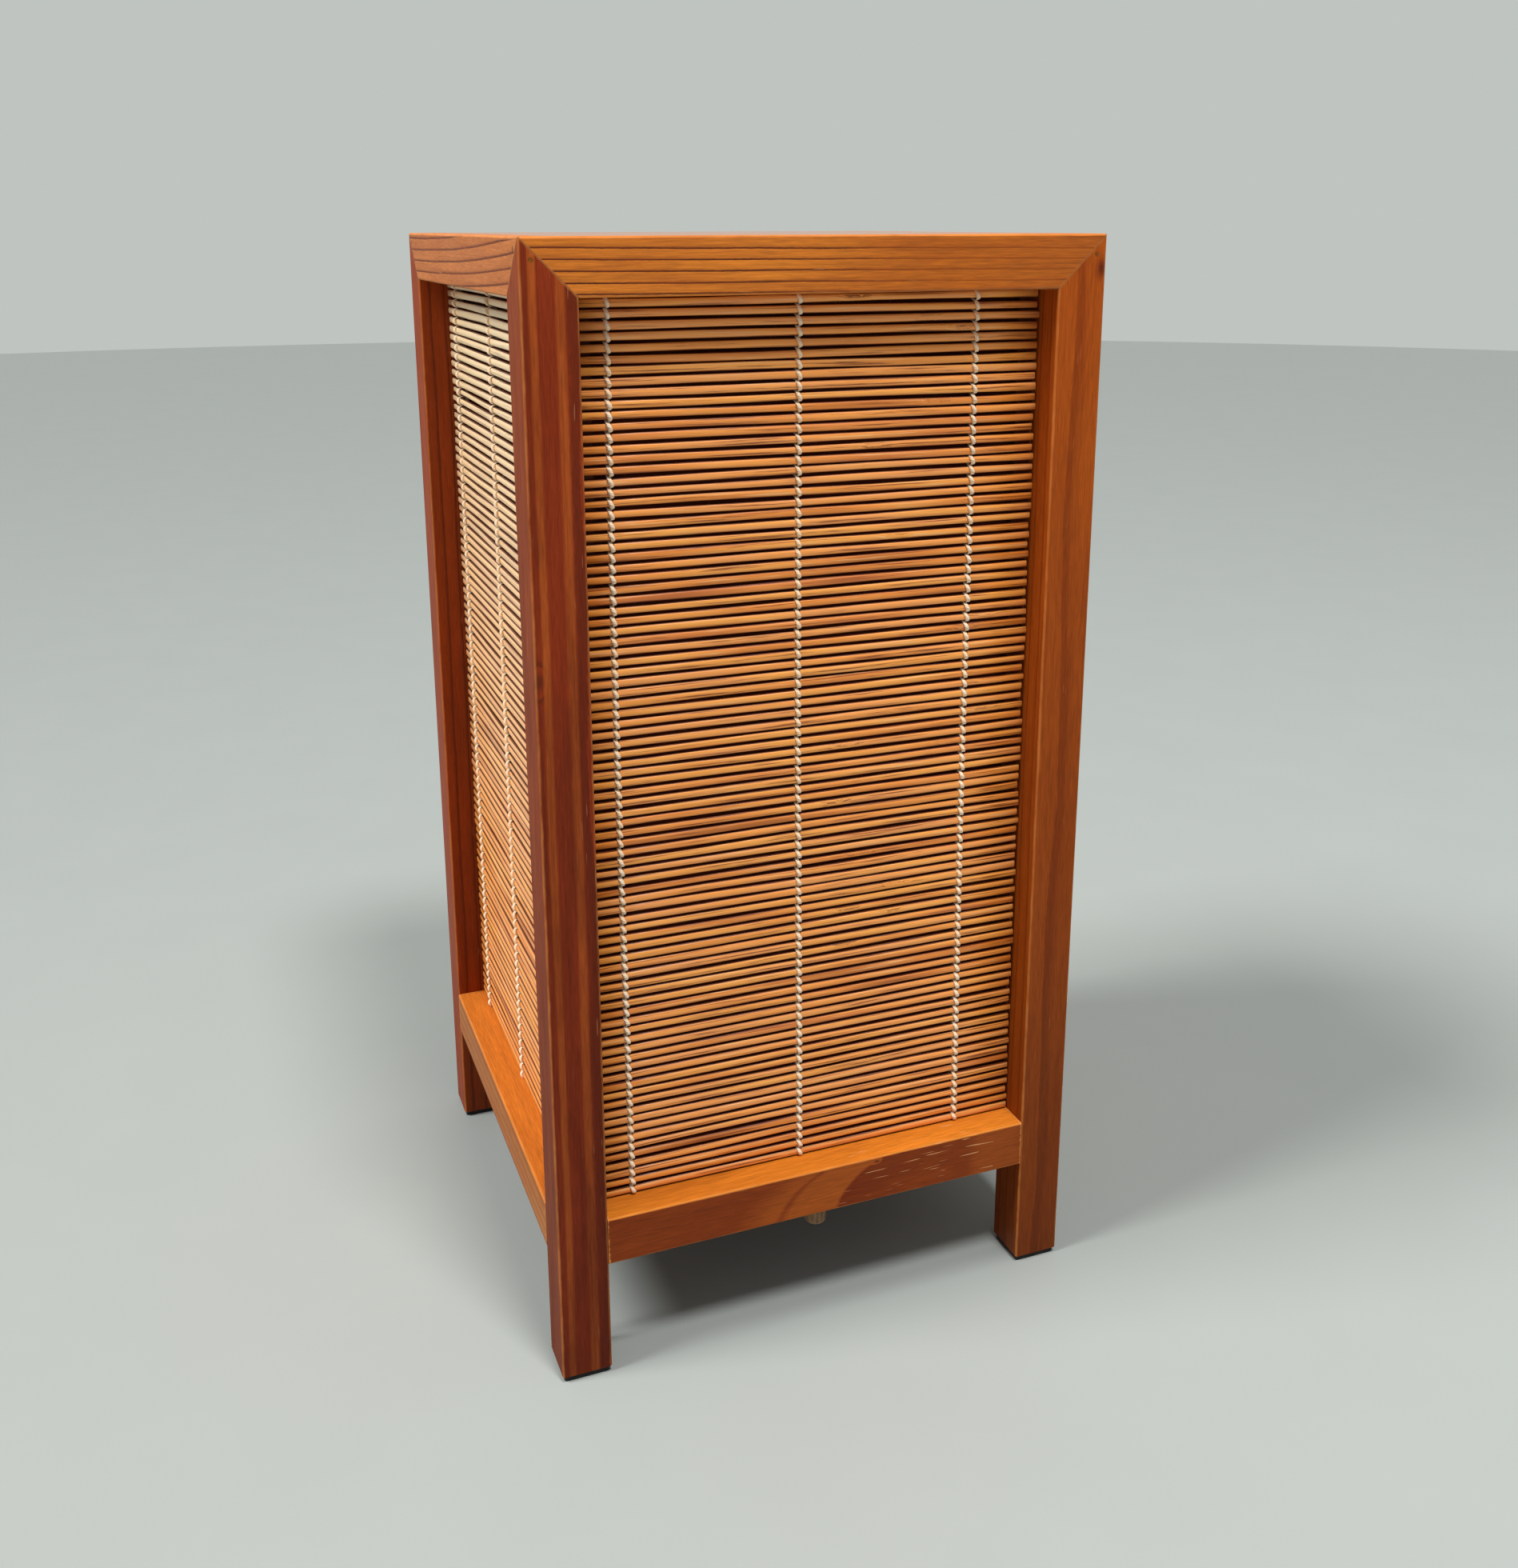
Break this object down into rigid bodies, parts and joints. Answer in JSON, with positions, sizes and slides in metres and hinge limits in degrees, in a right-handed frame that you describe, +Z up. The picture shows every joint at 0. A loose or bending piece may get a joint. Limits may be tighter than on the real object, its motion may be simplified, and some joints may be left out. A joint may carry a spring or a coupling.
{
  "type": "andon floor lamp",
  "caption": "Square stained pine floor lamp with closed top, paper-lined reed-mat sides tied with cotton string, and a screw-base bulb on a strap held by thumb screws.",
  "frame": {"origin": "on the floor, under the centre of the lamp", "axes": "+Z up, +X to the right seen from the front, -Y towards the front"},
  "size_m": [0.24, 0.24, 0.471],
  "materials": {
    "pine": "stained pine under semi-gloss varnish",
    "panel": "stained, varnished plywood",
    "hidden_wood": "dark stained softwood strips and dowels",
    "reed": "peeled reed, clear satin lacquer",
    "string": "twisted undyed cotton",
    "paper": "dark brown tannin-dyed paper",
    "pad": "matt black rubber",
    "steel": "zinc-plated steel",
    "stained_steel": "steel wire brads under the wood's stain",
    "brass": "plain brass",
    "knob": "tan moulded nylon",
    "holder": "black moulded phenolic",
    "ceramic": "unglazed white porcelain",
    "opal": "opal glass",
    "glass": "clear glass",
    "bulb_metal": "drawn aluminium cap",
    "filament": "tungsten and nickel wire"
  },
  "bodies": {
    "frame": {"post_front_left": "pine", "post_front_right": "pine", "post_back_left": "pine", "post_back_right": "pine", "top_rail_front": "pine", "bottom_rail_front": "pine", "reeds_front": "reed", "strings_front": "string", "battens_front": "hidden_wood", "lining_front": "paper", "top_rail_back": "pine", "bottom_rail_back": "pine", "reeds_back": "reed", "strings_back": "string", "battens_back": "hidden_wood", "lining_back": "paper", "top_rail_left": "pine", "bottom_rail_left": "pine", "reeds_left": "reed", "strings_left": "string", "battens_left": "hidden_wood", "lining_left": "paper", "top_rail_right": "pine", "bottom_rail_right": "pine", "reeds_right": "reed", "strings_right": "string", "battens_right": "hidden_wood", "lining_right": "paper", "top_panel": "panel", "foot_pads": "pad", "corner_brads": "stained_steel", "rail_dowels": "hidden_wood", "batten_pins": "steel", "rail_inserts": "brass", "holder_strap": "steel", "holder_nipple": "brass", "nipple_nut": "brass", "holder_cap": "holder", "holder_skirt": "holder", "holder_ceramic": "ceramic", "terminal_screws": "brass", "screw_shell": "brass", "contact_leaf": "brass"},
    "bulb_contact_tip": {"bulb_contact": "bulb_metal"},
    "bulb": {"bulb_envelope": "opal", "bulb_cap": "bulb_metal", "bulb_insulator": "glass", "bulb_stem": "glass", "bulb_leads": "filament", "bulb_filament": "filament"},
    "front_washer": {"thumb_washer_front": "steel"},
    "front_thumb_screw": {"thumb_knob_front": "knob", "thumb_stud_front": "steel"},
    "back_washer": {"thumb_washer_back": "steel"},
    "back_thumb_screw": {"thumb_knob_back": "knob", "thumb_stud_back": "steel"}
  },
  "joints": [
    {"name": "bulb_rise", "type": "slide", "parent": "frame", "child": "bulb_contact_tip", "axis": [0, 0, 1], "range_m": [0, 0.01086]},
    {"name": "bulb_unscrew", "type": "hinge", "parent": "bulb_contact_tip", "child": "bulb", "pos_m": [0, 0, 0.0815], "axis": [0, 0, 1], "range_deg": [0, 1080]},
    {"name": "front_screw_drop", "type": "slide", "parent": "frame", "child": "front_washer", "axis": [0, 0, -1], "range_m": [0, 0.0084]},
    {"name": "front_screw_turn", "type": "hinge", "parent": "front_washer", "child": "front_thumb_screw", "pos_m": [0, -0.10925, 0.0502], "axis": [0, 0, -1], "range_deg": [0, 4320]},
    {"name": "back_screw_drop", "type": "slide", "parent": "frame", "child": "back_washer", "axis": [0, 0, -1], "range_m": [0, 0.0084]},
    {"name": "back_screw_turn", "type": "hinge", "parent": "back_washer", "child": "back_thumb_screw", "pos_m": [0, 0.10925, 0.0502], "axis": [0, 0, -1], "range_deg": [0, 4320]}
  ],
  "couplings": [
    {"joint": "bulb_rise", "follows": "bulb_unscrew", "m_per_rad": 0.00057614},
    {"joint": "front_screw_turn", "follows": "front_screw_drop", "rad_per_m": 8976},
    {"joint": "back_screw_turn", "follows": "back_screw_drop", "rad_per_m": 8976}
  ]
}
